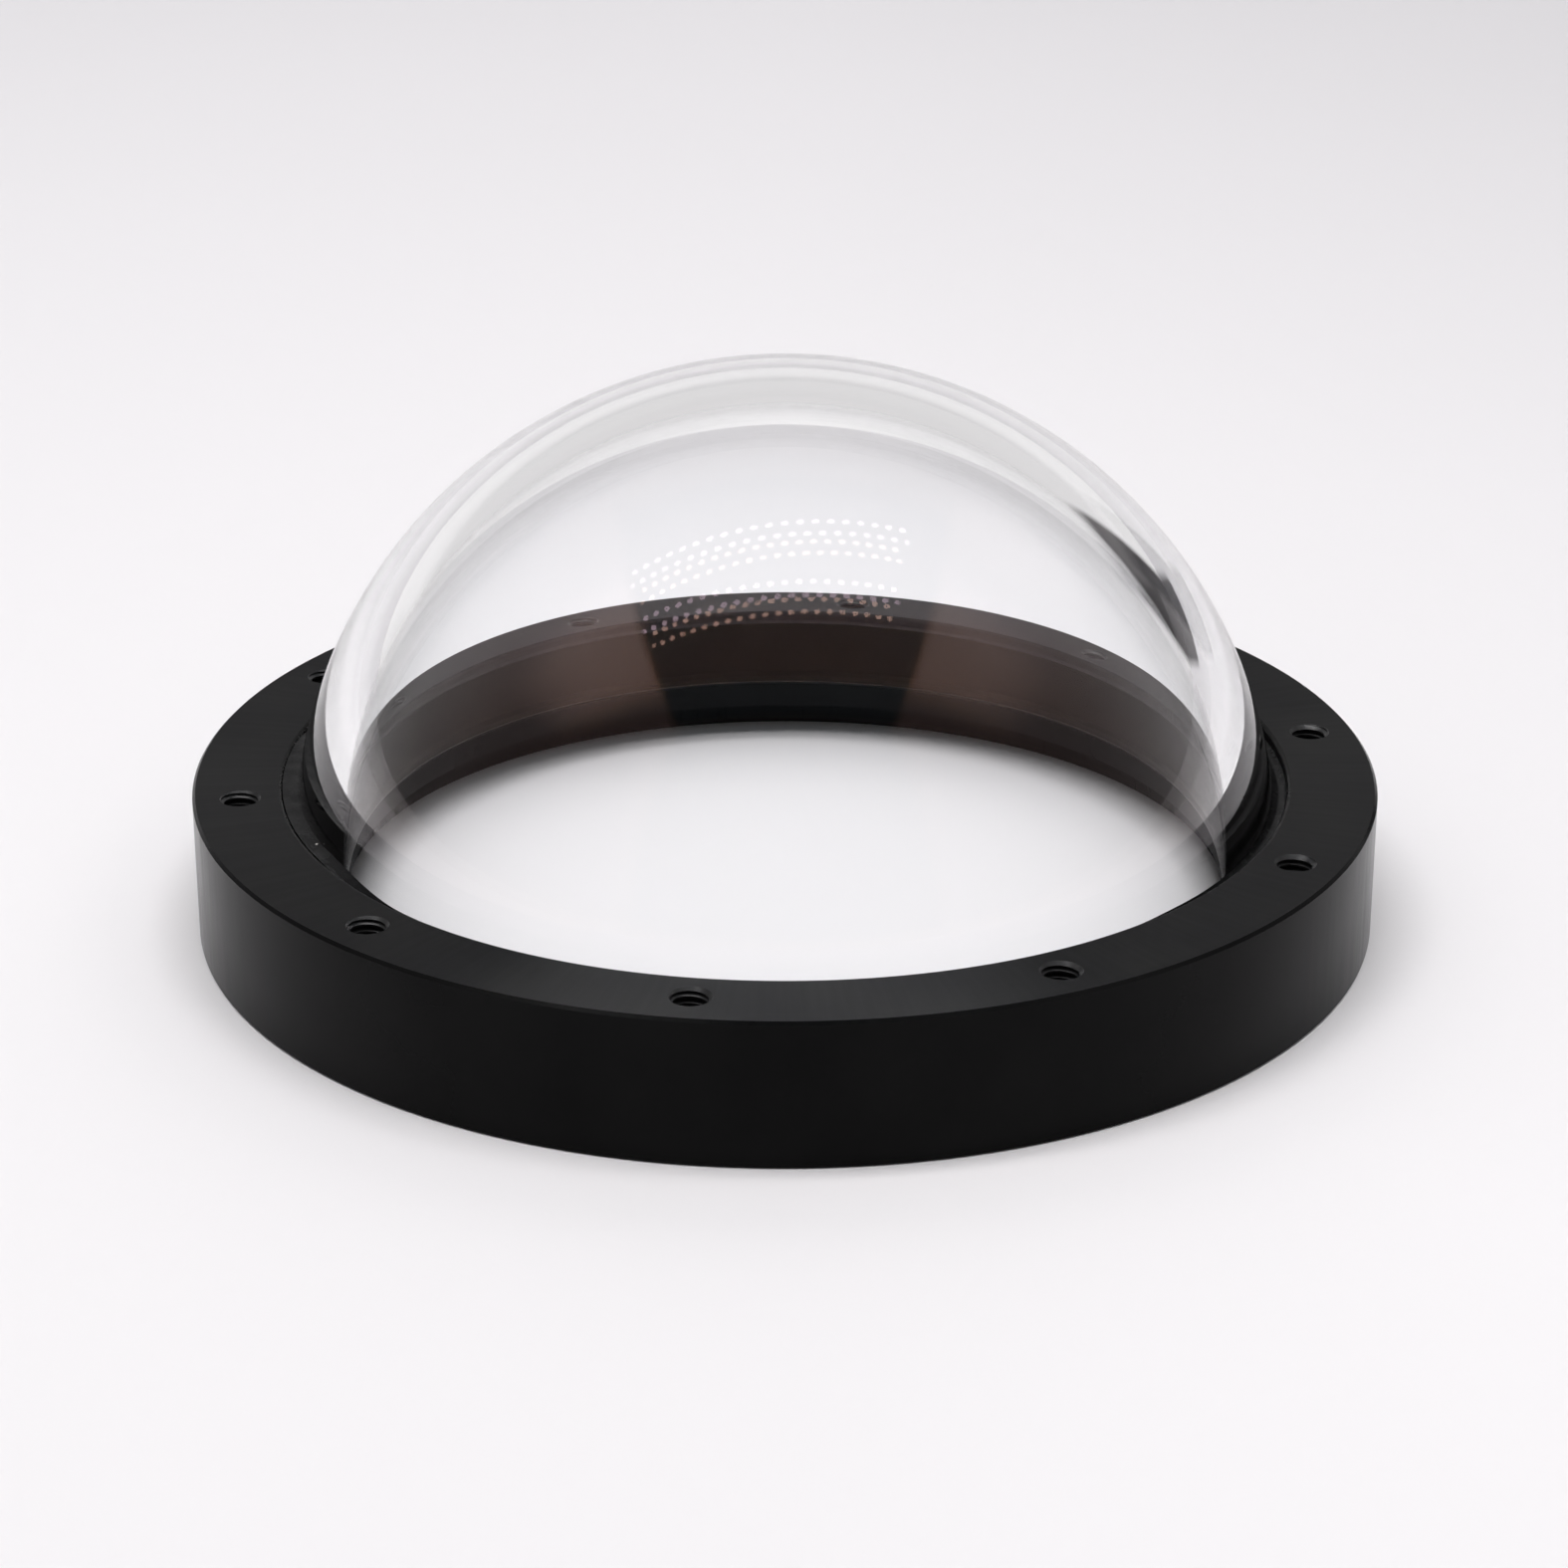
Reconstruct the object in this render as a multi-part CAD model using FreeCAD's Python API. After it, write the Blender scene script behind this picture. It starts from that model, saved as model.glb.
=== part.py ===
"""Dome lens: a hemispherical glass dome bonded into a flat metal ring with ten tapped holes.

Millimetres, +Z up along the dome's axis. The origin is the centre of the ring's bottom face,
and the uneven stretch of sealant lies towards -X.
"""
import FreeCAD, Part
import math
import os

# Glass dome: an even shell, ground flat just above the centre of its spheres
GLASS_OUTER_DIAMETER = 100.0
GLASS_WALL = 5.0
RIM_ABOVE_CENTRE = 0.6
RIM_OUTER_BEVEL = 0.6
RIM_INNER_BEVEL = 0.3

# Ring: heights, the lip that carries the glass, and the lands on both sides of the bolt circle
SEAT_HEIGHT = 6.2
CENTRE_DEPTH = 8.8
BOND_GAP = 0.75
APERTURE_RELIEF = 1.5
LIP_THICKNESS = 3.0
LIP_WIDTH = 3.0
LIP_CHAMFER = 0.3
BOLT_INSET = 4.25
BOLT_EDGE_MARGIN = 4.75
TOP_OUTER_CHAMFER = 0.3
BOTTOM_OUTER_CHAMFER = 0.2
POCKET_EDGE_RADIUS = 0.5

# Tapped holes, modelled at the tap drill's size with a chamfered mouth at both faces
HOLE_COUNT = 10
FIRST_HOLE_DEG = 9.13
THREAD_DIAMETER = 4.0
THREAD_PITCH = 0.7
MOUTH_ALLOWANCE = 0.05

# Sealant: a bedding layer under the rim, a recessed bead round it, and one overfilled stretch
BEDDING = 0.2
BEDDING_SETBACK = 0.3
BEAD_RECESS = 1.2
MENISCUS_DIP = 0.3
OVERFILL_RECESS = 0.1
OVERFILL_START_DEG = 160.0
OVERFILL_END_DEG = 222.0

# Sizes that follow from the fits between the pieces
glass_outer_radius = GLASS_OUTER_DIAMETER / 2
glass_inner_radius = glass_outer_radius - GLASS_WALL
pocket_radius = glass_outer_radius + BOND_GAP
aperture_radius = glass_inner_radius + APERTURE_RELIEF
recess_radius = aperture_radius + LIP_WIDTH
bolt_circle_radius = pocket_radius + BOLT_INSET
ring_radius = bolt_circle_radius + BOLT_EDGE_MARGIN
lip_bottom_z = SEAT_HEIGHT - LIP_THICKNESS
rim_z = SEAT_HEIGHT + BEDDING
centre_z = rim_z - RIM_ABOVE_CENTRE
ring_height = centre_z + CENTRE_DEPTH
tap_radius = (THREAD_DIAMETER - THREAD_PITCH) / 2
mouth_radius = THREAD_DIAMETER / 2 + MOUTH_ALLOWANCE

AXIS = FreeCAD.Vector(0, 0, 1)
ORIGIN = FreeCAD.Vector(0, 0, 0)
FULL_TURN = 360.0
HALF_SQRT2 = math.sqrt(0.5)


def at(radius, z):
    """A point of a section in the XZ plane."""
    return FreeCAD.Vector(radius, 0, z)


def line(start, end):
    return Part.LineSegment(start, end).toShape()


def arc(start, middle, end):
    return Part.Arc(start, middle, end).toShape()


def polyline(points):
    """Straight edges from each point to the next."""
    return [line(start, end) for start, end in zip(points, points[1:])]


def turned(edges, angle=FULL_TURN):
    """The solid that a closed section makes as it turns about the dome's axis."""
    section = Part.Face(Part.Wire(Part.sortEdges(edges)[0]))
    return section.revolve(ORIGIN, AXIS, angle)


def ring_blank():
    """The turned ring: a pocket for the glass, the lip it sits on and a wider recess below."""
    edge_centre = at(pocket_radius + POCKET_EDGE_RADIUS, ring_height - POCKET_EDGE_RADIUS)
    edge_start = at(pocket_radius, edge_centre.z)
    edge_end = at(edge_centre.x, ring_height)
    edge_middle = at(
        edge_centre.x - POCKET_EDGE_RADIUS * HALF_SQRT2,
        edge_centre.z + POCKET_EDGE_RADIUS * HALF_SQRT2,
    )
    outline = polyline([
        edge_end,
        at(ring_radius - TOP_OUTER_CHAMFER, ring_height),
        at(ring_radius, ring_height - TOP_OUTER_CHAMFER),
        at(ring_radius, BOTTOM_OUTER_CHAMFER),
        at(ring_radius - BOTTOM_OUTER_CHAMFER, 0),
        at(recess_radius, 0),
        at(recess_radius, lip_bottom_z),
        at(aperture_radius, lip_bottom_z),
        at(aperture_radius, SEAT_HEIGHT - LIP_CHAMFER),
        at(aperture_radius + LIP_CHAMFER, SEAT_HEIGHT),
        at(pocket_radius, SEAT_HEIGHT),
        edge_start,
    ])
    return turned(outline + [arc(edge_start, edge_middle, edge_end)])


def tapped_hole():
    """The space of one through hole on the dome's axis, with its two chamfered mouths."""
    mouth_depth = mouth_radius - tap_radius
    return turned(polyline([
        at(0, 0),
        at(mouth_radius, 0),
        at(tap_radius, mouth_depth),
        at(tap_radius, ring_height - mouth_depth),
        at(mouth_radius, ring_height),
        at(0, ring_height),
        at(0, 0),
    ]))


def mounting_ring():
    """The ring with its circle of tapped holes."""
    holes = []
    for index in range(HOLE_COUNT):
        angle = FIRST_HOLE_DEG + index * FULL_TURN / HOLE_COUNT
        hole = tapped_hole()
        hole.translate(at(bolt_circle_radius, 0))
        hole.rotate(ORIGIN, AXIS, angle)
        holes.append(hole)
    return ring_blank().cut(holes)


def glass_dome():
    """The hemispherical shell, open below, with its flat rim bevelled at both edges."""
    outer_start_angle = math.asin((RIM_ABOVE_CENTRE + RIM_OUTER_BEVEL) / glass_outer_radius)
    inner_start_angle = math.asin((RIM_ABOVE_CENTRE + RIM_INNER_BEVEL) / glass_inner_radius)

    def on_sphere(radius, angle):
        return at(radius * math.cos(angle), centre_z + radius * math.sin(angle))

    pole = math.pi / 2
    outer = arc(
        on_sphere(glass_outer_radius, outer_start_angle),
        on_sphere(glass_outer_radius, (outer_start_angle + pole) / 2),
        at(0, centre_z + glass_outer_radius),
    )
    inner = arc(
        at(0, centre_z + glass_inner_radius),
        on_sphere(glass_inner_radius, (inner_start_angle + pole) / 2),
        on_sphere(glass_inner_radius, inner_start_angle),
    )
    rim = polyline([
        on_sphere(glass_inner_radius, inner_start_angle),
        at(glass_inner_radius + RIM_INNER_BEVEL, rim_z),
        at(glass_outer_radius - RIM_OUTER_BEVEL, rim_z),
        on_sphere(glass_outer_radius, outer_start_angle),
    ])
    axis_edge = line(at(0, centre_z + glass_outer_radius), at(0, centre_z + glass_inner_radius))
    return turned([outer, axis_edge, inner] + rim)


def bead_fill(recess, angle=FULL_TURN):
    """Sealant from the pocket wall inwards to past the glass, with a dished top."""
    top = ring_height - recess
    centre_radius = glass_outer_radius - GLASS_WALL / 2
    glass_radius_at_top = math.sqrt(glass_outer_radius ** 2 - (top - centre_z) ** 2)
    glass_edge = at(glass_radius_at_top, top)
    wall_edge = at(pocket_radius, top)
    trough = at((glass_edge.x + wall_edge.x) / 2, top - MENISCUS_DIP)
    return turned(
        [arc(glass_edge, trough, wall_edge)]
        + polyline([
            wall_edge,
            at(pocket_radius, SEAT_HEIGHT),
            at(centre_radius, SEAT_HEIGHT),
            at(centre_radius, top),
            glass_edge,
        ]),
        angle,
    )


def sealant_bead(dome):
    """The cured sealant that holds the dome: bedding, bead and the overfilled stretch."""
    bedding_start = aperture_radius + BEDDING_SETBACK
    bedding = turned(polyline([
        at(bedding_start, SEAT_HEIGHT),
        at(pocket_radius, SEAT_HEIGHT),
        at(pocket_radius, rim_z),
        at(bedding_start, rim_z),
        at(bedding_start, SEAT_HEIGHT),
    ]))
    overfill = bead_fill(OVERFILL_RECESS, OVERFILL_END_DEG - OVERFILL_START_DEG)
    overfill.rotate(ORIGIN, AXIS, OVERFILL_START_DEG)
    fill = bead_fill(BEAD_RECESS).fuse([overfill, bedding])
    return fill.cut(dome).removeSplitter()


def main():
    os.makedirs("parts", exist_ok=True)
    dome = glass_dome()
    pieces = {
        "mounting_ring": mounting_ring(),
        "glass_dome": dome,
        "sealant_bead": sealant_bead(dome),
    }
    for name, shape in pieces.items():
        shape.exportStep(f"parts/{name}.step")
        print(name, len(shape.Solids), "solid", shape.isValid(), round(shape.Volume, 2), "mm3")


main()
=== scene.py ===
"""Looks of the dome lens: a glass dome bonded into a black anodised ring with ten tapped holes.

Lengths in the named sizes are millimetres, and meshes are made in metres in the row frame.
"""

import math

import bmesh
import bpy
from mathutils import Euler, Matrix, Vector, noise


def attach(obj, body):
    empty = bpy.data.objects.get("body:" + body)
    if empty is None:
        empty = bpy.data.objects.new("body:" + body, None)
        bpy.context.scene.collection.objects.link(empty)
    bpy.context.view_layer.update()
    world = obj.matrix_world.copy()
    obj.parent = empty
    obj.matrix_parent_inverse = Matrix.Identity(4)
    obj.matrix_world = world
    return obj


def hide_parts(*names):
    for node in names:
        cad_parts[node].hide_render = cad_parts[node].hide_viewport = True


MM = 0.001
TURN = 2 * math.pi

# Ring, as in the CAD
RING_R = 59.75
RING_H = 14.6
POCKET_R = 50.75
POCKET_EDGE_R = 0.5
POCKET_EDGE_STEPS = 8
APERTURE_R = 46.5
SEAT_Z = 6.2
LIP_CHAMFER = 0.3
LIP_BOTTOM_Z = 3.2
RECESS_R = 49.5
TOP_CHAMFER = 0.3
BOTTOM_CHAMFER = 0.2
BOLT_CIRCLE_R = 55.0
HOLE_COUNT = 10
FIRST_HOLE_DEG = 9.13
MOUTH_R = 2.05
MOUTH_TIP_R = 0.2
TAP_R = 1.65
RING_SEGMENTS = 480
RING_SHARP_DEG = 18

# Thread in the holes: M4, cut as a helix from the tap drill's radius outwards
THREAD_R = 2.0
PITCH = 0.7
CREST = 0.175
FLANK = 0.202
THREAD_SEGMENTS = 40
SPARE_TURNS = 4
WELD_DISTANCE = 0.0001

# Where the ring's finishes meet: the top face, the threads, and the pocket and the recess under the
# lip, which get a blacker, duller copy of the turned finish as painted shade
TURNED, FACED, THREADED, RECESS_SHADE = range(4)
FACING_UP = 0.98
FACING_DOWN = -0.9
FACE_MARGIN = 0.01
MOUTH_MARGIN = 0.02

# Glass dome
GLASS_R = 50.0
GLASS_INNER_R = 45.0
CENTRE_Z = 5.8
RIM_Z = 6.4
RIM_OUTER_BEVEL = 0.6
RIM_INNER_BEVEL = 0.3
GLASS_SEGMENTS = 440
GLASS_RINGS = 100
GLASS_IOR = 1.5
OUTSIDE, RIM, INSIDE = range(3)

# Sealant: its recess and dished top, and how far it reaches into the glass and the ring
BEDDING_START_R = 46.8
BEAD_RECESS = 1.2
BEAD_DIP = 0.34
BEAD_CLIMB = 0.12
OVERFILL_RECESS = 0.12
OVERFILL_DIP = 0.06
OVERFILL_START_DEG = 160.0
OVERFILL_END_DEG = 222.0
OVERFILL_FADE_DEG = 14.0
WETTING = 0.02
SEALANT_SEGMENTS = 480
SEALANT_SHARP_DEG = 40
BEDDING_CORNERS = 4
SURFACE_STEPS = 10
INSIDE_LEVELS = 8

# Unevenness of the sealant: height, waves round the circle and seed, and the overfill's lumps
BEAD_RIPPLES = ((0.12, 5, 3.1), (0.05, 17, 7.7))
OVERFILL_RIPPLE = (0.05, 24, 1.3)
LUMP_HEIGHT = 0.03
LUMPS_PER_MM = 1.7
LUMPS_PER_RADIAN = 60
LUMP_SEED = 2.2

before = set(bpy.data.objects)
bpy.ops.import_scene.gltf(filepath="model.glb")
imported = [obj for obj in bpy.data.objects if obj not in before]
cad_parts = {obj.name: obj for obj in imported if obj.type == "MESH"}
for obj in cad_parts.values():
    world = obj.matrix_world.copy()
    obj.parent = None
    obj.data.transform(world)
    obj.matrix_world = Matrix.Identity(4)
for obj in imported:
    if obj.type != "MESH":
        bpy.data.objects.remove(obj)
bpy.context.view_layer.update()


# Mesh helpers

def new_object(name, mesh):
    piece = bpy.data.objects.new(name, mesh)
    bpy.context.scene.collection.objects.link(piece)
    return piece


def finished(name, mesh):
    """The mesh data of a bmesh, which is freed."""
    data = bpy.data.meshes.new(name)
    mesh.to_mesh(data)
    mesh.free()
    return data


def polar(radius, angle, z):
    return Vector((radius * math.cos(angle) * MM, radius * math.sin(angle) * MM, z * MM))


def vert_ring(mesh, radius, z, segments, place=Vector()):
    """Points on a circle about the axis, moved to the place."""
    return [
        mesh.verts.new(polar(radius, TURN * index / segments, z) + place)
        for index in range(segments)
    ]


def smooth_face(mesh, corners, material):
    face = mesh.faces.new(corners)
    face.smooth = True
    face.material_index = material


def band(mesh, lower, upper, material=0):
    """Faces between two rings of points."""
    for index, vert in enumerate(lower):
        following = (index + 1) % len(lower)
        smooth_face(mesh, (vert, lower[following], upper[following], upper[index]), material)


def turned_mesh(name, section_at, segments, slot_of=lambda row: 0):
    """A closed section swept about the axis. section_at(angle) gives its (radius, z) points."""
    mesh = bmesh.new()
    columns = []
    for index in range(segments):
        angle = TURN * index / segments
        columns.append([
            mesh.verts.new(polar(radius, angle, z)) for radius, z in section_at(angle)
        ])
    for index, column in enumerate(columns):
        following = columns[(index + 1) % segments]
        for row, vert in enumerate(column):
            above = (row + 1) % len(column)
            corners = (vert, following[row], following[above], column[above])
            smooth_face(mesh, corners, slot_of(row))
    bmesh.ops.recalc_face_normals(mesh, faces=mesh.faces)
    return finished(name, mesh)


# Ring with tapped holes

def ring_section(_angle):
    """The turned ring's section, the same at every angle."""
    edge = []
    for step in range(POCKET_EDGE_STEPS + 1):
        angle = math.radians(180 - 90 * step / POCKET_EDGE_STEPS)
        edge.append((
            POCKET_R + POCKET_EDGE_R + POCKET_EDGE_R * math.cos(angle),
            RING_H - POCKET_EDGE_R + POCKET_EDGE_R * math.sin(angle),
        ))
    return edge + [
        (RING_R - TOP_CHAMFER, RING_H),
        (RING_R, RING_H - TOP_CHAMFER),
        (RING_R, BOTTOM_CHAMFER),
        (RING_R - BOTTOM_CHAMFER, 0),
        (RECESS_R, 0),
        (RECESS_R, LIP_BOTTOM_Z),
        (APERTURE_R, LIP_BOTTOM_Z),
        (APERTURE_R, SEAT_Z - LIP_CHAMFER),
        (APERTURE_R + LIP_CHAMFER, SEAT_Z),
        (POCKET_R, SEAT_Z),
    ]


def hole_places():
    """Each hole's angle, and its place on the bolt circle."""
    for index in range(HOLE_COUNT):
        angle = math.radians(FIRST_HOLE_DEG) + TURN * index / HOLE_COUNT
        yield angle, polar(BOLT_CIRCLE_R, angle, 0)


def add_thread(mesh, place, rotation):
    """One thread-shaped plug, longer than the ring is high, whose surface follows the helix."""
    profile = (
        (0, TAP_R),
        (CREST, TAP_R),
        (CREST + FLANK, THREAD_R),
        (PITCH - FLANK, THREAD_R),
    )
    rows = []
    for turn in range(math.ceil(RING_H / PITCH) + SPARE_TURNS):
        for offset, radius in profile:
            row = []
            for step in range(THREAD_SEGMENTS + 1):
                angle = TURN * step / THREAD_SEGMENTS
                z = (turn - SPARE_TURNS // 2 + step / THREAD_SEGMENTS) * PITCH + offset
                row.append(mesh.verts.new(rotation @ polar(radius, angle, z) + place))
            rows.append(row)
    for lower, upper in zip(rows, rows[1:]):
        for step in range(THREAD_SEGMENTS):
            mesh.faces.new((lower[step], lower[step + 1], upper[step + 1], upper[step]))
    verts = [vert for row in rows for vert in row]
    bmesh.ops.remove_doubles(mesh, verts=verts, dist=WELD_DISTANCE * MM)


def close_ends(mesh):
    """Each open end of a plug gets a point on its axis and a fan of faces to it."""
    open_edges = {edge for edge in mesh.edges if edge.is_boundary}
    while open_edges:
        loop = [open_edges.pop()]
        reached = list(loop[0].verts)
        while reached:
            vert = reached.pop()
            for edge in vert.link_edges:
                if edge in open_edges:
                    open_edges.remove(edge)
                    loop.append(edge)
                    reached.append(edge.other_vert(vert))
        corners = {vert for edge in loop for vert in edge.verts}
        centre = sum((vert.co for vert in corners), Vector()) / len(corners)
        tip = mesh.verts.new(centre)
        for edge in loop:
            mesh.faces.new((*edge.verts, tip))


def thread_cutter():
    """A plug with the shape of the thread in every hole."""
    mesh = bmesh.new()
    for angle, place in hole_places():
        add_thread(mesh, place, Matrix.Rotation(angle, 3, "Z"))
    close_ends(mesh)
    return mesh


def mouth_cutter():
    """Cones that chamfer both mouths of every hole."""
    mesh = bmesh.new()
    depth = MOUTH_R - TAP_R
    for _angle, place in hole_places():
        for face_z, inwards in ((RING_H, -1), (0, 1)):
            outside_z = face_z - inwards * depth
            tip_z = face_z + inwards * (MOUTH_R - MOUTH_TIP_R)
            wide = vert_ring(mesh, MOUTH_R + depth, outside_z, THREAD_SEGMENTS, place)
            narrow = vert_ring(mesh, MOUTH_TIP_R, tip_z, THREAD_SEGMENTS, place)
            band(mesh, wide, narrow)
            mesh.faces.new(wide)
            mesh.faces.new(narrow)
    return mesh


def make_ring():
    """The turned blank, from which the holes' mouths and threads are cut."""
    ring = new_object("ring_body", turned_mesh("ring_body", ring_section, RING_SEGMENTS))
    for name, mesh in (("mouth_cutter", mouth_cutter()), ("thread_cutter", thread_cutter())):
        bmesh.ops.recalc_face_normals(mesh, faces=mesh.faces)
        tool = new_object(name, finished(name, mesh))
        cut = ring.modifiers.new(name, "BOOLEAN")
        cut.operation = "DIFFERENCE"
        cut.solver = "MANIFOLD"
        cut.object = tool
        evaluated = ring.evaluated_get(bpy.context.evaluated_depsgraph_get())
        data = bpy.data.meshes.new_from_object(evaluated)
        ring.modifiers.remove(cut)
        ring.data = data
        bpy.data.objects.remove(tool)
    ring.data.shade_smooth()
    ring.data.set_sharp_from_angle(angle=math.radians(RING_SHARP_DEG))
    return ring


def ring_slot(ring, face):
    """The finish of one face of the ring. The outer wall and the lip's bore are turned. The pocket
    and the recess under the lip get a blacker, duller copy of the turned finish, which is painted
    shade.
    """
    centre = face.center
    if face.normal.z > FACING_UP and centre.z > (RING_H - FACE_MARGIN) * MM:
        return FACED
    corner = ring.data.vertices[face.vertices[0]].co
    for _angle, place in hole_places():
        reach = max((point.xy - place.xy).length for point in (corner, centre))
        if reach < (MOUTH_R + MOUTH_MARGIN) * MM:
            return THREADED
    # The pocket and the recess under the lip: painted shade, as a blacker, duller copy of the turned
    # finish
    lip_edge = (APERTURE_R + LIP_CHAMFER) * MM
    pocket_edge = (POCKET_R + POCKET_EDGE_R) * MM
    if lip_edge < centre.xy.length < pocket_edge and face.normal.z > FACING_DOWN:
        return RECESS_SHADE
    return TURNED


# Glass dome

def sphere_section(radius, bevel):
    """The (radius, z) points of a sphere, from the rim's bevel to just below the pole."""
    start = math.asin((RIM_Z + bevel - CENTRE_Z) / radius)
    points = []
    for step in range(GLASS_RINGS):
        angle = start + (math.pi / 2 - start) * step / GLASS_RINGS
        points.append((radius * math.cos(angle), CENTRE_Z + radius * math.sin(angle)))
    return points


def set_dome_normals(data):
    """The spheres' own normals on both shells, and flat faces on the rim."""
    centre = Vector((0, 0, CENTRE_Z * MM))
    middle_r = (GLASS_R + GLASS_INNER_R) / 2 * MM
    normals = [None] * len(data.loops)
    for face in data.polygons:
        for loop in face.loop_indices:
            outward = data.vertices[data.loops[loop].vertex_index].co - centre
            if face.material_index == RIM:
                normals[loop] = face.normal
            elif outward.length > middle_r:
                normals[loop] = outward.normalized()
            else:
                normals[loop] = -outward.normalized()
    data.normals_split_custom_set(normals)


def make_dome():
    """Two spheres about one centre, joined by the flat rim and its two bevels."""
    outer = sphere_section(GLASS_R, RIM_OUTER_BEVEL)
    inner = sphere_section(GLASS_INNER_R, RIM_INNER_BEVEL)
    mesh = bmesh.new()
    shells = []
    for section, radius in ((outer, GLASS_R), (inner, GLASS_INNER_R)):
        rows = [vert_ring(mesh, r, z, GLASS_SEGMENTS) for r, z in section]
        shells.append((rows, mesh.verts.new(polar(0, 0, CENTRE_Z + radius))))
    rim_outer = vert_ring(mesh, outer[0][0] - RIM_OUTER_BEVEL, RIM_Z, GLASS_SEGMENTS)
    rim_inner = vert_ring(mesh, inner[0][0] + RIM_INNER_BEVEL, RIM_Z, GLASS_SEGMENTS)
    for (rows, pole), material in zip(shells, (OUTSIDE, INSIDE)):
        for lower, upper in zip(rows, rows[1:]):
            band(mesh, lower, upper, material)
        last = rows[-1]
        for index, vert in enumerate(last):
            smooth_face(mesh, (vert, last[(index + 1) % len(last)], pole), material)
    outer_start = shells[0][0][0]
    inner_start = shells[1][0][0]
    band(mesh, outer_start, rim_outer, RIM)
    band(mesh, rim_outer, rim_inner, RIM)
    band(mesh, rim_inner, inner_start, RIM)
    bmesh.ops.recalc_face_normals(mesh, faces=mesh.faces)
    data = finished("dome_glass", mesh)
    set_dome_normals(data)
    return new_object("dome_glass", data)


# Sealant

def smooth_step(value):
    value = min(max(value, 0), 1)
    return value * value * (3 - 2 * value)


def ripple(angle, height, waves, seed):
    """Smooth seeded noise round the circle."""
    place = Vector((math.cos(angle) * waves, math.sin(angle) * waves, seed))
    return height * noise.noise(place)


def overfill_share(angle):
    """1 where the sealant is flush with the face, and 0 where it lies in the groove."""
    degrees = math.degrees(angle)
    rise = smooth_step((degrees - OVERFILL_START_DEG) / OVERFILL_FADE_DEG)
    fall = smooth_step((OVERFILL_END_DEG - degrees) / OVERFILL_FADE_DEG)
    return rise * fall


def sealant_surface(angle):
    """The free top, dished and drawn up at both edges, from the glass to the pocket's wall."""
    share = overfill_share(angle)
    recess = sum((ripple(angle, *settings) for settings in BEAD_RIPPLES), BEAD_RECESS)
    filled = OVERFILL_RECESS + ripple(angle, *OVERFILL_RIPPLE)
    recess += (filled - recess) * share
    top = RING_H - recess
    dip = BEAD_DIP * (1 - share) + OVERFILL_DIP * share
    climb = BEAD_CLIMB * (1 - share)
    start_r = math.sqrt(GLASS_R ** 2 - (top - CENTRE_Z) ** 2) - WETTING
    surface = []
    for step in range(SURFACE_STEPS + 1):
        across = step / SURFACE_STEPS
        radius = start_r + (POCKET_R + WETTING - start_r) * across
        sag = 1 - (2 * across - 1) ** 2
        z = top - dip * sag + climb * ((1 - across) ** 6 + across ** 8)
        lump = noise.noise(Vector((radius * LUMPS_PER_MM, angle * LUMPS_PER_RADIAN, LUMP_SEED)))
        surface.append((radius, z + LUMP_HEIGHT * share * lump))
    return surface


def sealant_section(angle):
    """The bedding's corners, the face that wets the glass and the free top."""
    surface = sealant_surface(angle)
    wetted_r = GLASS_R - WETTING
    low = math.asin((RIM_Z + RIM_OUTER_BEVEL - CENTRE_Z) / GLASS_R)
    high = math.asin(min(1, (surface[0][1] - CENTRE_Z) / wetted_r))
    inside = []
    for level in range(INSIDE_LEVELS):
        height = low + (high - low) * level / INSIDE_LEVELS
        inside.append((wetted_r * math.cos(height), CENTRE_Z + wetted_r * math.sin(height)))
    return [
        (POCKET_R + WETTING, SEAT_Z - WETTING),
        (BEDDING_START_R, SEAT_Z - WETTING),
        (BEDDING_START_R, RIM_Z + WETTING),
        (GLASS_R - RIM_OUTER_BEVEL, RIM_Z + WETTING),
    ] + inside + surface


def bonded_row(row):
    """1 for the rows of faces that touch the glass or the ring, 0 for the free surface."""
    first_free = BEDDING_CORNERS + INSIDE_LEVELS
    return 0 if first_free <= row < first_free + SURFACE_STEPS else 1


def make_sealant():
    data = turned_mesh("sealant", sealant_section, SEALANT_SEGMENTS, bonded_row)
    data.shade_smooth()
    data.set_sharp_from_angle(angle=math.radians(SEALANT_SHARP_DEG))
    return new_object("sealant", data)


# Materials

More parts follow.
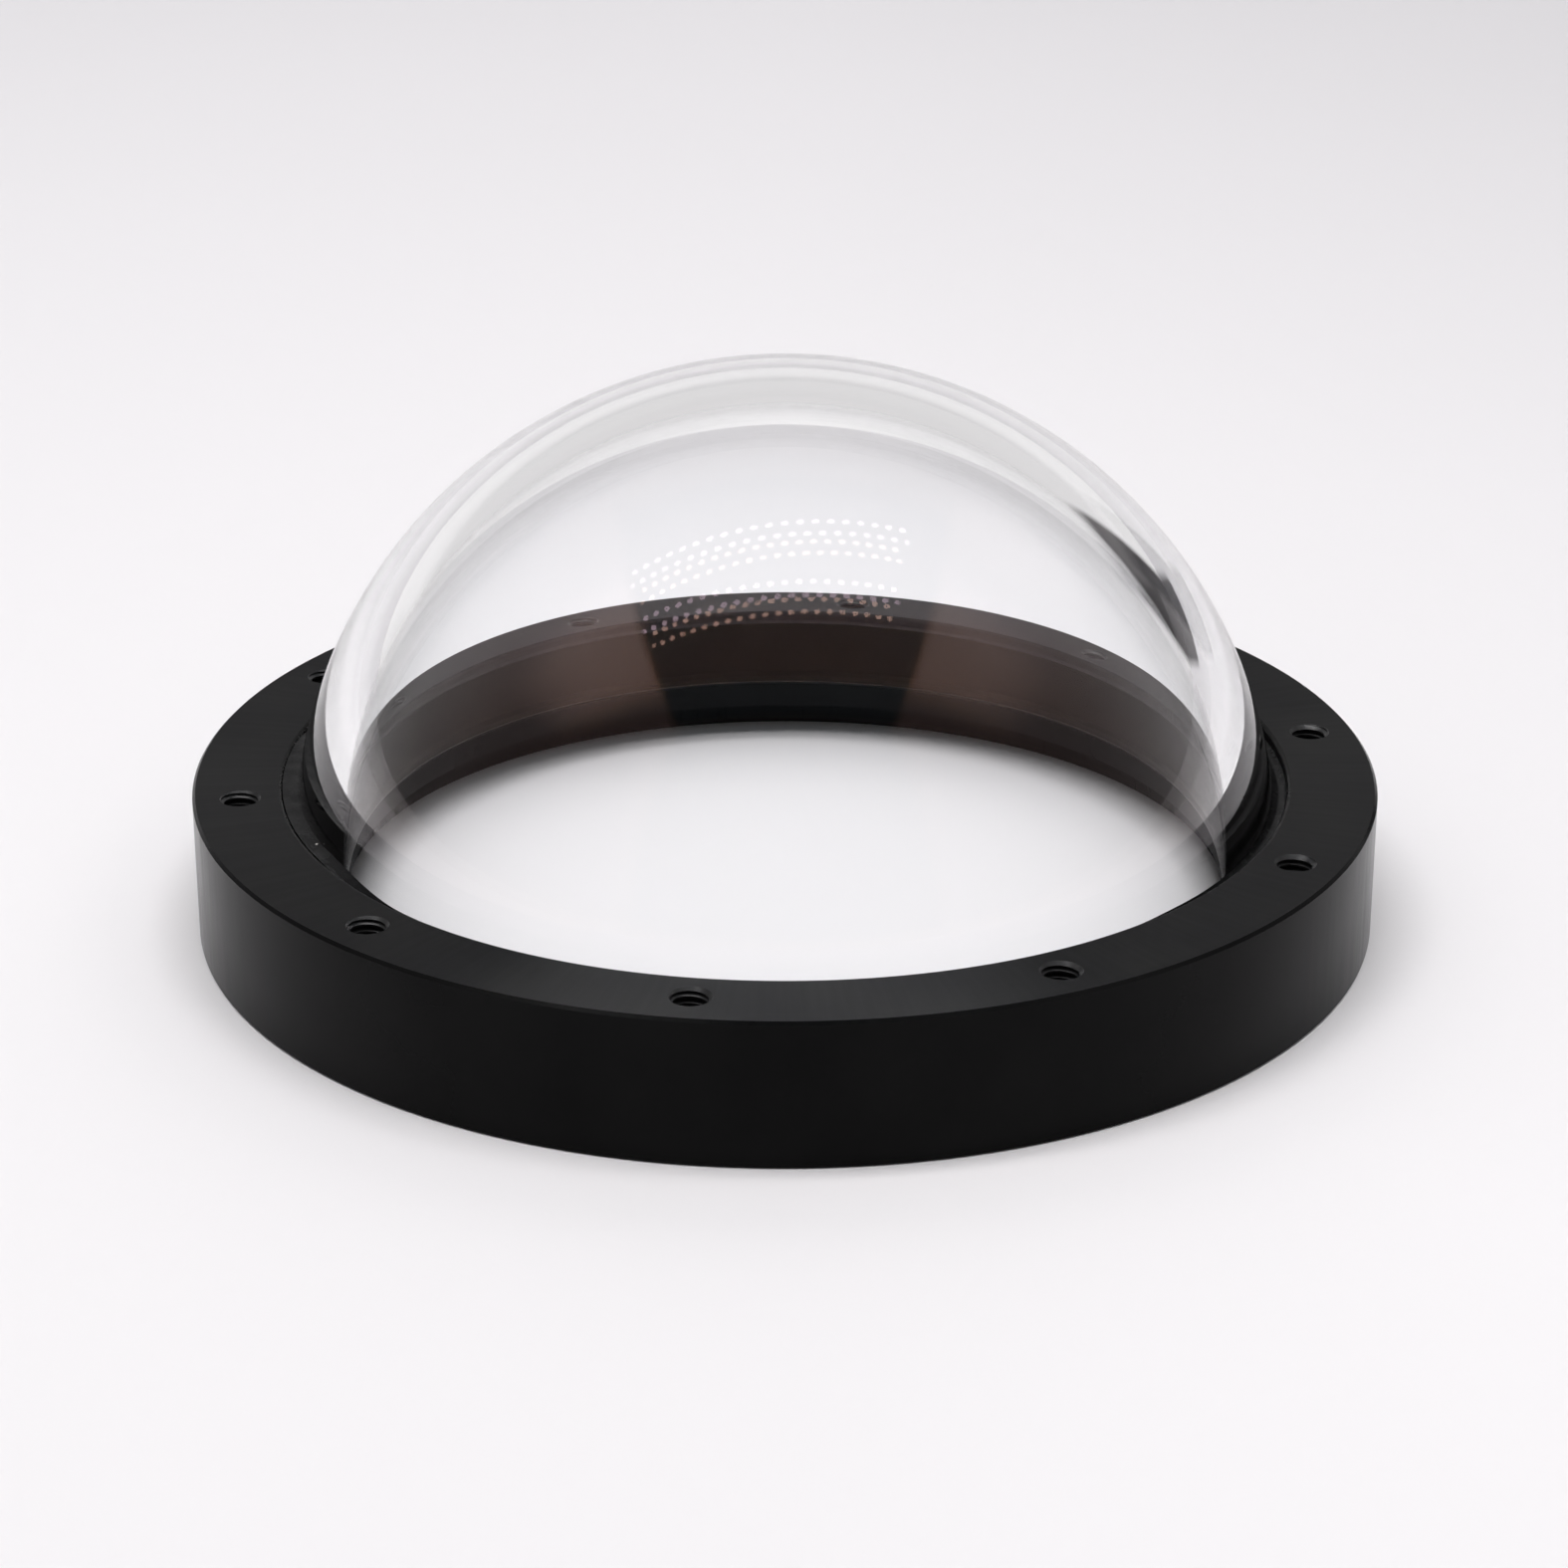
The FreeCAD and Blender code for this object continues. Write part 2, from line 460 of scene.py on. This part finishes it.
class Tree:
    """Short calls for building a node tree."""

    def __init__(self, owner):
        owner.use_nodes = True
        self.tree = owner.node_tree
        self.tree.nodes.clear()

    def fill(self, node, inputs):
        """Give each input its value, or a link from another node's output."""
        for key, value in inputs:
            if isinstance(value, bpy.types.NodeSocket):
                self.tree.links.new(value, node.inputs[key])
            else:
                node.inputs[key].default_value = value

    def add(self, kind, inputs=None, **settings):
        node = self.tree.nodes.new(kind)
        for key, value in settings.items():
            setattr(node, key, value)
        self.fill(node, (inputs or {}).items())
        return node

    def math(self, operation, *values):
        node = self.add("ShaderNodeMath", operation=operation)
        self.fill(node, enumerate(values))
        return node.outputs[0]

    def times(self, first, *others):
        for other in others:
            first = self.math("MULTIPLY", first, other)
        return first

    def length(self, x, y):
        """How far the point (x, y) is from the origin."""
        return self.math("SQRT", self.math("ADD", self.times(x, x), self.times(y, y)))

    def azimuth(self, x, y):
        """The angle of the point (x, y) from the front towards the right, in radians."""
        return self.math("ARCTAN2", x, self.times(y, -1.0))

    def span(self, value, low, high, to_low=0.0, to_high=1.0, smooth=False):
        """From to_low to to_high, as the value goes from low to high."""
        node = self.add(
            "ShaderNodeMapRange",
            {"Value": value, "From Min": low, "From Max": high, "To Min": to_low, "To Max": to_high},
            interpolation_type="SMOOTHSTEP" if smooth else "LINEAR",
        )
        return node.outputs["Result"]

    def below(self, value, edge, smooth=False):
        """1 below a soft edge and 0 above it."""
        return self.span(value, *edge, 1, 0, smooth=smooth)

    def between(self, value, rise, fall, smooth=False):
        """1 between two soft edges and 0 outside them."""
        return self.times(
            self.span(value, *rise, smooth=smooth), self.below(value, fall, smooth=smooth))

    def ramp(self, factor, *stops):
        """A colour that passes through each stop's colour at its position."""
        node = self.add("ShaderNodeValToRGB", {"Fac": factor})
        elements = node.color_ramp.elements
        while len(elements) < len(stops):
            elements.new(1)
        for element, (position, colour) in zip(elements, stops):
            element.position = position
            element.color = (*colour, 1)
        return node.outputs["Color"]

    def mix(self, share, first, second):
        """The first colour where share is 0 and the second where it is 1."""
        inputs = {"Factor": share, "A": first, "B": second}
        return self.add("ShaderNodeMix", inputs, data_type="RGBA").outputs["Result"]

    def noise(self, vector, scale, detail):
        inputs = {"Vector": vector, "Scale": scale, "Detail": detail}
        return self.add("ShaderNodeTexNoise", inputs).outputs["Fac"]

    def place(self):
        return self.add("ShaderNodeTexCoord").outputs["Object"]

    def parts(self, vector):
        return self.add("ShaderNodeSeparateXYZ", {"Vector": vector}).outputs

    def principled(self, **inputs):
        """The surface's shader. An underscore stands for a space in an input's name."""
        named = {key.replace("_", " "): value for key, value in inputs.items()}
        self.output(self.add("ShaderNodeBsdfPrincipled", named).outputs[0])

    def output(self, shader, kind="ShaderNodeOutputMaterial"):
        self.add(kind, {"Surface": shader})


def new_material(name):
    material = bpy.data.materials.new(name)
    return material, Tree(material)


# Fineness of the marks: per metre across the turning marks and per radian along them
GROOVES = (9000.0, 5.0)
STREAKS = (60.0, 75.0)
SMEARS = (900.0, 26.0)

# Fineness of the clouds and the grain, per metre, and the part of the noise's range in use
CLOUDS = 90
GRAIN = 3800
BONDED_CLOUDS = 260
RIM_CLOUDS = 700
PAPER_CLOUDS = 3
NOISE_LOW = 0.3
NOISE_HIGH = 0.7
SMEAR_LOW = 0.35

# Relief of the anodised face: the shares of grooves and grain, and the height in metres
GROOVE_RELIEF = 0.6
GRAIN_RELIEF = 0.4
RELIEF_STRENGTH = 0.06
RELIEF_HEIGHT = 0.00002
CLOUDED_ROUGHNESS = 0.015
BLUE_CAST = 1.04
ACROSS_THE_MARKS = 0.25

# Dust on the sealant: cells per metre, the share of them that stay bare and a speck's size
DUST_CELLS = 900.0
BARE_SHARE = 0.985
SPECK_SIZE = 0.14
DUST = (0.55, 0.53, 0.5, 1)

# Share of the lamps' light that the glass passes straight on, and its loss at grazing angles
STRAIGHT_PASS = 0.985
GRAZING_LOSS = 0.5


def marks_at(nodes, radius, angle, fineness, height=None):
    """Where a mark lies, for marks that run round the axis."""
    across, along = fineness
    inputs = {"X": nodes.times(radius, across), "Y": nodes.times(angle, along)}
    if height is not None:
        inputs["Z"] = nodes.times(height, across)
    return nodes.add("ShaderNodeCombineXYZ", inputs).outputs[0]


def anodised_material(name, base_range, metallic, gloss, edge_tint, rough_range, anisotropy):
    """Satin black anodising over fine turning marks that run round the axis."""
    material, nodes = new_material(name)
    dark, pale = base_range
    place = nodes.place()
    x, y, z = nodes.parts(place)
    radius = nodes.length(x, y)
    angle = nodes.math("ARCTAN2", y, x)
    grooves = nodes.noise(marks_at(nodes, radius, angle, GROOVES, z), 1.0, 2)
    streaks = nodes.noise(marks_at(nodes, radius, angle, STREAKS, z), 1.0, 3)
    clouds = nodes.noise(place, CLOUDS, 4)
    grain = nodes.noise(place, GRAIN, 2)
    colour = nodes.ramp(
        clouds, (NOISE_LOW, (dark, dark, dark * BLUE_CAST)), (NOISE_HIGH, (pale, pale, pale)))
    streaked = nodes.span(streaks, NOISE_LOW, NOISE_HIGH, *rough_range)
    clouded = nodes.span(clouds, NOISE_LOW, NOISE_HIGH, -CLOUDED_ROUGHNESS, CLOUDED_ROUGHNESS)
    relief = nodes.math(
        "ADD", nodes.times(grooves, GROOVE_RELIEF), nodes.times(grain, GRAIN_RELIEF))
    bump = nodes.add("ShaderNodeBump", {
        "Height": relief, "Strength": RELIEF_STRENGTH, "Distance": RELIEF_HEIGHT,
    })
    around = nodes.add("ShaderNodeTangent", direction_type="RADIAL", axis="Z")
    nodes.principled(
        Base_Color=colour,
        Metallic=metallic,
        Roughness=nodes.math("ADD", streaked, clouded),
        Specular_IOR_Level=gloss,
        Specular_Tint=(edge_tint, edge_tint, edge_tint, 1),
        Anisotropic=anisotropy,
        Anisotropic_Rotation=ACROSS_THE_MARKS,
        Tangent=around.outputs[0],
        Normal=bump.outputs[0],
    )
    return material


def sealant_material():
    """Cured black sealant: glossy, with smears and a few pale specks of dust."""
    material, nodes = new_material("black_sealant")
    place = nodes.place()
    x, y, _z = nodes.parts(place)
    angle = nodes.math("ARCTAN2", y, x)
    smears = nodes.noise(marks_at(nodes, nodes.length(x, y), angle, SMEARS), 1.0, 4)
    cells = nodes.add(
        "ShaderNodeTexVoronoi", {"Vector": place, "Scale": DUST_CELLS, "Randomness": 1.0})
    chosen = nodes.math("GREATER_THAN", nodes.parts(cells.outputs["Color"])[0], BARE_SHARE)
    near = nodes.math("LESS_THAN", cells.outputs["Distance"], SPECK_SIZE)
    base = nodes.ramp(
        smears, (SMEAR_LOW, (0.006, 0.006, 0.0062)), (NOISE_HIGH, (0.012, 0.012, 0.0122)))
    bump = nodes.add("ShaderNodeBump", {"Height": smears, "Strength": 0.15, "Distance": 0.0001})
    nodes.principled(
        Base_Color=nodes.mix(nodes.times(chosen, near), base, DUST),
        Roughness=nodes.span(smears, SMEAR_LOW, NOISE_HIGH, 0.16, 0.34),
        Specular_IOR_Level=0.025,
        Normal=bump.outputs[0],
    )
    return material


def bonded_material():
    """Sealant where it wets the glass or the ring: black, without a gloss of its own."""
    material, nodes = new_material("bonded_sealant")
    clouds = nodes.noise(nodes.place(), BONDED_CLOUDS, 3)
    dark = (NOISE_LOW, (0.0035, 0.0035, 0.0036))
    pale = (NOISE_HIGH, (0.0065, 0.0063, 0.0064))
    nodes.principled(
        Base_Color=nodes.ramp(clouds, dark, pale),
        Roughness=0.8,
        Specular_IOR_Level=0.0,
    )
    return material


def rim_material():
    """The rim's fine-ground faces, wetted black by the sealant under them."""
    material, nodes = new_material("wetted_rim")
    clouds = nodes.noise(nodes.place(), RIM_CLOUDS, 3)
    dark = (NOISE_LOW, (0.005, 0.005, 0.005))
    pale = (NOISE_HIGH, (0.012, 0.011, 0.011))
    nodes.principled(
        Base_Color=nodes.ramp(clouds, dark, pale),
        Roughness=nodes.span(clouds, NOISE_LOW, NOISE_HIGH, 0.5, 0.65),
        Specular_IOR_Level=0.12,
    )
    return material


def glass_material(name, coating):
    """Clear polished glass with an anti-reflection coating, whose weak reflection has a tint.

    The lamps shine straight through it, with more loss where their light grazes it.
    """
    material, nodes = new_material(name)
    polished = nodes.add("ShaderNodeBsdfPrincipled", {
        "Base Color": (0.995, 0.995, 0.998, 1),
        "Roughness": 0.0,
        "IOR": GLASS_IOR,
        "Transmission Weight": 1.0,
        "Specular Tint": (*coating, 1),
    })
    path = nodes.add("ShaderNodeLightPath").outputs
    lamplight = nodes.math("MAXIMUM", path["Is Shadow Ray"], path["Is Diffuse Ray"])
    grazing = nodes.add("ShaderNodeLayerWeight", {"Blend": 0.5}).outputs["Facing"]
    loss = nodes.times(grazing, grazing, GRAZING_LOSS)
    clear = nodes.add(
        "ShaderNodeBsdfTransparent", {"Color": nodes.math("SUBTRACT", STRAIGHT_PASS, loss)})
    shader = nodes.add(
        "ShaderNodeMixShader", {0: lamplight, 1: polished.outputs[0], 2: clear.outputs[0]})
    nodes.output(shader.outputs[0])
    return material


# Pieces

RING_FINISHES = (
    dict(name="anodised_turned", base_range=(0.0022, 0.0045), metallic=0.0, gloss=0.062,
         edge_tint=1.0, rough_range=(0.19, 0.25), anisotropy=0.6),
    dict(name="anodised_faced", base_range=(0.034, 0.043), metallic=0.85, gloss=0.1,
         edge_tint=0.5, rough_range=(0.42, 0.46), anisotropy=1.0),
    dict(name="anodised_threads", base_range=(0.02, 0.035), metallic=0.6, gloss=0.5,
         edge_tint=1.0, rough_range=(0.3, 0.4), anisotropy=0.0),
    # Painted shade: a blacker, duller copy of the turned finish, for the pocket and the recess under
    # the lip
    dict(name="anodised_recess_painted_shade", base_range=(0.0015, 0.003), metallic=0.0, gloss=0.035,
         edge_tint=1.0, rough_range=(0.25, 0.35), anisotropy=0.5),
)
OUTSIDE_COATING = (0.36, 0.27, 0.31)
INSIDE_COATING = (0.40, 0.24, 0.16)

ring = make_ring()
ring.data.materials.clear()
for finish in RING_FINISHES:
    ring.data.materials.append(anodised_material(**finish))
for face in ring.data.polygons:
    face.material_index = ring_slot(ring, face)
dome = make_dome()
dome.data.materials.append(glass_material("coated_outside", OUTSIDE_COATING))
dome.data.materials.append(rim_material())
dome.data.materials.append(glass_material("coated_inside", INSIDE_COATING))
sealant = make_sealant()
sealant.data.materials.append(sealant_material())
sealant.data.materials.append(bonded_material())
for piece, node, slot in (
    (ring, "mounting_ring", "anodised_ring"),
    (dome, "glass_dome", "dome_glass"),
    (sealant, "sealant_bead", "black_sealant"),
):
    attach(piece, "root")
    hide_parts(node)


# Room: the soft edges of its parts, each from its start to its end, or as a rise and a fall
SLOT_SIDE = (0.55, 0.59)
SLOT_LENGTH = ((-0.8, -0.75), (0.55, 0.7))
PANEL_SIDE = (0.8, 1.7)
PANEL_LENGTH = ((-0.62, -0.42), (-0.05, 0.25))
PANEL_CHANGE = (-0.6, 0.6)
FRONT_SIDE = (0.72, 0.78)
FRONT_HEIGHT = ((-0.05, 0.0), (1.25, 1.4))
FRONT_PANEL_SIDE = (0.8, 1.0)
FRONT_PANEL_SHARE = 0.12
WINDOW_AZIMUTH = ((1.95, 2.15), (2.45, 2.65))
WINDOW_HEIGHT = ((0.4, 0.55), (0.7, 0.82))
SIDES_RISE = (0.35, 0.6)
LOW_LEFT_AZIMUTH = (-1.6, -1.8)
LOW_LEFT_HEIGHT = (0.2, 0.4)
BACK_START = (0.45, 0.85)
BACK_EDGES = ((0.08, 0.16), (0.5, 0.58), (0.6, 0.7))
STAND_AZIMUTH = ((2.39, 2.43), (2.62, 2.65))
STAND_HEIGHT = (0.2, 0.27)
STAND_DISTANCE = (0.55, 0.6)
NEARLY_LEVEL = 0.001

# Lamps overhead: a line is its place at the middle and its slope, and sizes are from the centre
LAMP_MIDDLE_X = -0.07
LAMP_END = (0.475, 0.495)
STRIP_LINES = ((0.105, 0.175), (-0.19, 0.1))
STRIP_SIDE = (0.075, 0.09)
DOT_LINES = ((0.165, 0.175), (-0.125, 0.1))
DOT_ROW_OFFSET = 0.031
DOT_PITCH = 0.048
DOT_EDGE = (0.011, 0.014)

# Brightness of the room's parts and its lamps
SIDES_LOW = (0.3, 0.29, 0.295, 1)
SIDES_HIGH = (0.42, 0.41, 0.415, 1)
LOW_LEFT = (0.17, 0.165, 0.165, 1)
BACK_LEVELS = (
    (0.92, 0.905, 0.91, 1),
    (0.7, 0.69, 0.695, 1),
    (0.95, 0.94, 0.95, 1),
    (1.4, 1.38, 1.39, 1),
)
WINDOW = (0.8, 0.785, 0.79, 1)
PANEL = (0.9, 0.88, 0.87, 1)
MIRRORED_RIGHT_PANEL = (1.5, 1.44, 1.38, 1)
MIRRORED_LEFT_PANEL = (1.9, 1.8, 1.72, 1)
DARK_FRONT = (0.02, 0.02, 0.021, 1)
SLOT = (0.08, 0.13, 0.16, 1)
STAND = (0.012, 0.012, 0.013, 1)
STRIPS = (8.7, 8.5, 8.6, 1)
MIRRORED_DOTS = (10.5, 10.2, 11.0, 1)
BACKDROP = (0.72, 0.71, 0.72, 1)

# Floor, in metres, with the paper's colours from near to far. These colours are painted light and
# shade: the floor is brightest about the ring, a little darker in front, and much darker far behind
# and to the right
FLOOR_HALF = 6.0
FLOOR_Z = -0.00002
FLOOR_REACH = (-0.2, 0.8)
FAR_TO_THE_RIGHT = 0.9
FLOOR_CLOUDINESS = 0.02
FLOOR_STAND = (0.03, 0.03, 0.032, 1)
FLOOR_SHADE_COLOURS = (
    (0.05, (0.86, 0.848, 0.853)),
    (0.2, (0.9, 0.887, 0.892)),
    (0.4, (0.83, 0.818, 0.826)),
    (0.8, (0.66, 0.65, 0.66)),
)


def floor_material():
    """Pale paper with painted shade, which darkens it far behind and to the right. Only the glass
    mirrors the foot of the dark stand.
    """
    material, nodes = new_material("floor_paper_and_painted_shade")
    place = nodes.place()
    clouds = nodes.noise(place, PAPER_CLOUDS, 2)
    x, y, _z = nodes.parts(place)
    aside = nodes.times(nodes.math("MAXIMUM", x, 0.0), FAR_TO_THE_RIGHT)
    uneven = nodes.span(clouds, NOISE_LOW, NOISE_HIGH, -FLOOR_CLOUDINESS, FLOOR_CLOUDINESS)
    far = nodes.math("ADD", nodes.math("ADD", y, aside), uneven)
    # The paper's colour from near to far is painted light and shade, darkest far behind and to the
    # right
    paper_and_painted_shade = nodes.ramp(nodes.span(far, *FLOOR_REACH), *FLOOR_SHADE_COLOURS)
    direct = nodes.add("ShaderNodeLightPath").outputs["Is Camera Ray"]
    stand = nodes.times(
        nodes.between(nodes.azimuth(x, y), *STAND_AZIMUTH),
        nodes.span(nodes.length(x, y), *STAND_DISTANCE),
        nodes.math("SUBTRACT", 1.0, direct),
    )
    nodes.principled(
        Base_Color=nodes.mix(stand, paper_and_painted_shade, FLOOR_STAND),
        Roughness=0.9,
        Specular_IOR_Level=0.0,
    )
    return material


def make_floor():
    mesh = bmesh.new()
    corners = ((-1, -1), (1, -1), (1, 1), (-1, 1))
    mesh.faces.new([
        mesh.verts.new((x * FLOOR_HALF, y * FLOOR_HALF, FLOOR_Z)) for x, y in corners
    ])
    data = finished("floor", mesh)
    data.materials.append(floor_material())
    floor = new_object("floor", data)


make_floor()


# Light

class Directions:
    """The ways to look into the room. A place overhead is x and y over the height, and one
    in front is x and z over the depth."""

    def __init__(self, nodes):
        way = nodes.add("ShaderNodeTexCoord").outputs["Generated"]
        x, self.y, self.z = nodes.parts(way)
        up = nodes.math("MAXIMUM", self.z, NEARLY_LEVEL)
        ahead = nodes.math("MAXIMUM", nodes.times(self.y, -1.0), NEARLY_LEVEL)
        self.ceiling_x = nodes.math("DIVIDE", x, up)
        self.ceiling_y = nodes.math("DIVIDE", self.y, up)
        self.aside = nodes.math("ABSOLUTE", self.ceiling_x)
        self.front_x = nodes.math("ABSOLUTE", nodes.math("DIVIDE", x, ahead))
        self.front_z = nodes.math("DIVIDE", self.z, ahead)
        self.azimuth = nodes.azimuth(x, self.y)


def strip(nodes, _way, across):
    """An even strip along the lamp's line."""
    return nodes.below(nodes.math("ABSOLUTE", across), STRIP_SIDE)


def dots(nodes, way, across):
    """Two staggered rows of small round lamps along the lamp's line."""
    row = nodes.math("SUBTRACT", nodes.math("ABSOLUTE", across), DOT_ROW_OFFSET)
    stagger = nodes.times(nodes.math("GREATER_THAN", across, 0.0), 0.5)
    steps = nodes.math("ADD", nodes.math("DIVIDE", way.ceiling_x, DOT_PITCH), stagger)
    along = nodes.times(nodes.math("SUBTRACT", nodes.math("FRACT", steps), 0.5), DOT_PITCH)
    return nodes.below(nodes.length(along, row), DOT_EDGE)


def lamps(nodes, way, lines, shape):
    """The two long lamps across the ceiling, as strips or as dots."""
    along = nodes.math("ABSOLUTE", nodes.math("SUBTRACT", way.ceiling_x, LAMP_MIDDLE_X))
    shapes = []
    for middle, slope in lines:
        line = nodes.math("ADD", nodes.times(way.ceiling_x, slope), middle)
        shapes.append(shape(nodes, way, nodes.math("SUBTRACT", way.ceiling_y, line)))
    return nodes.times(nodes.math("MAXIMUM", *shapes), nodes.below(along, LAMP_END))


def walls(nodes, way):
    """Grey sides, darker at the low left, and a back whose brightness changes with height."""
    sides = nodes.mix(nodes.span(way.z, *SIDES_RISE, smooth=True), SIDES_LOW, SIDES_HIGH)
    low_left = nodes.times(
        nodes.span(way.azimuth, *LOW_LEFT_AZIMUTH, smooth=True),
        nodes.below(way.z, LOW_LEFT_HEIGHT, smooth=True),
    )
    sides = nodes.mix(low_left, sides, LOW_LEFT)
    back = BACK_LEVELS[0]
    for edge, level in zip(BACK_EDGES, BACK_LEVELS[1:]):
        back = nodes.mix(nodes.span(way.z, *edge, smooth=True), back, level)
    return nodes.mix(nodes.span(way.y, *BACK_START, smooth=True), sides, back)


def box_world():
    """A light box: two lamps in a dark slot overhead, which runs down the front, with bright
    panels beside it, grey sides, a paler back, and a window and a dark stand at the right
    behind. The glass mirrors the lamps as rows of dots, and to rough surfaces they are strips."""
    world = bpy.data.worlds.new("light_box")
    bpy.context.scene.world = world
    nodes = Tree(world)
    way = Directions(nodes)
    path = nodes.add("ShaderNodeLightPath").outputs

    front_height = nodes.between(way.front_z, *FRONT_HEIGHT)
    front = nodes.times(nodes.below(way.front_x, FRONT_SIDE), front_height)
    slot = nodes.times(
        nodes.below(way.aside, SLOT_SIDE), nodes.between(way.ceiling_y, *SLOT_LENGTH))
    ceiling_panels = nodes.times(
        nodes.below(way.aside, PANEL_SIDE, smooth=True),
        nodes.between(way.ceiling_y, *PANEL_LENGTH, smooth=True),
    )
    front_panels = nodes.times(
        nodes.below(way.front_x, FRONT_PANEL_SIDE, smooth=True),
        nodes.times(front_height, FRONT_PANEL_SHARE),
    )
    window = nodes.times(
        nodes.between(way.azimuth, *WINDOW_AZIMUTH, smooth=True),
        nodes.between(way.z, *WINDOW_HEIGHT, smooth=True),
    )
    stand = nodes.times(
        nodes.between(way.azimuth, *STAND_AZIMUTH), nodes.below(way.z, STAND_HEIGHT))

    mirrored_panel = nodes.mix(
        nodes.below(way.ceiling_x, PANEL_CHANGE), MIRRORED_RIGHT_PANEL, MIRRORED_LEFT_PANEL)
    panel = nodes.mix(path["Is Singular Ray"], PANEL, mirrored_panel)
    light = nodes.mix(window, walls(nodes, way), WINDOW)
    light = nodes.mix(nodes.math("MAXIMUM", ceiling_panels, front_panels), light, panel)
    light = nodes.mix(nodes.math("MAXIMUM", slot, front), light, DARK_FRONT)
    light = nodes.mix(slot, light, SLOT)
    light = nodes.mix(stand, light, STAND)
    soft = nodes.mix(lamps(nodes, way, STRIP_LINES, strip), light, STRIPS)
    mirrored = nodes.mix(lamps(nodes, way, DOT_LINES, dots), light, MIRRORED_DOTS)
    light = nodes.mix(path["Is Singular Ray"], soft, mirrored)

    room = nodes.add("ShaderNodeBackground", {"Color": light, "Strength": 1.0})
    seen = nodes.add("ShaderNodeBackground", {"Color": BACKDROP, "Strength": 1.0})
    shown = nodes.add("ShaderNodeMixShader", {
        0: path["Is Camera Ray"], 1: room.outputs[0], 2: seen.outputs[0],
    })
    nodes.output(shown.outputs[0], "ShaderNodeOutputWorld")


def soft_lamp(name, place, target, size, power):
    """A large lamp that lights the rough surfaces and isn't mirrored in the glass."""
    lamp = bpy.data.lights.new(name, "AREA")
    lamp.shape = "RECTANGLE"
    lamp.size, lamp.size_y = size
    lamp.energy = power
    holder = bpy.data.objects.new(name, lamp)
    holder.location = place
    holder.rotation_euler = (Vector(target) - Vector(place)).to_track_quat("-Z", "Y").to_euler()
    holder.visible_glossy = False
    holder.visible_transmission = False
    bpy.context.scene.collection.objects.link(holder)


box_world()
soft_lamp("front_lamp", place=(-0.1, -0.65, 0.4), target=(0, 0, 0), size=(0.8, 0.3), power=0.22)


# Camera

CAMERA_PLACE = (0.0, -0.38889, 0.17534)
CAMERA_PITCH_DEG = 22.7275
CAMERA_YAW_DEG = 0.013
CAMERA_ROLL_DEG = 0.0586
CAMERA_LENS = 95.045
CAMERA_SENSOR = 36.0
CAMERA_START = 0.01

camera_data = bpy.data.cameras.new("camera")
camera_data.lens = CAMERA_LENS
camera_data.sensor_width = CAMERA_SENSOR
camera_data.clip_start = CAMERA_START
camera = bpy.data.objects.new("camera", camera_data)
aim = Euler((math.radians(90 - CAMERA_PITCH_DEG), 0, math.radians(CAMERA_YAW_DEG))).to_matrix()
roll = Matrix.Rotation(math.radians(-CAMERA_ROLL_DEG), 3, "Z")
camera.matrix_world = Matrix.LocRotScale(Vector(CAMERA_PLACE), (aim @ roll).to_quaternion(), None)
bpy.context.scene.collection.objects.link(camera)
bpy.context.scene.camera = camera
bpy.context.scene.view_settings.view_transform = "Standard"

bpy.context.view_layer.update()
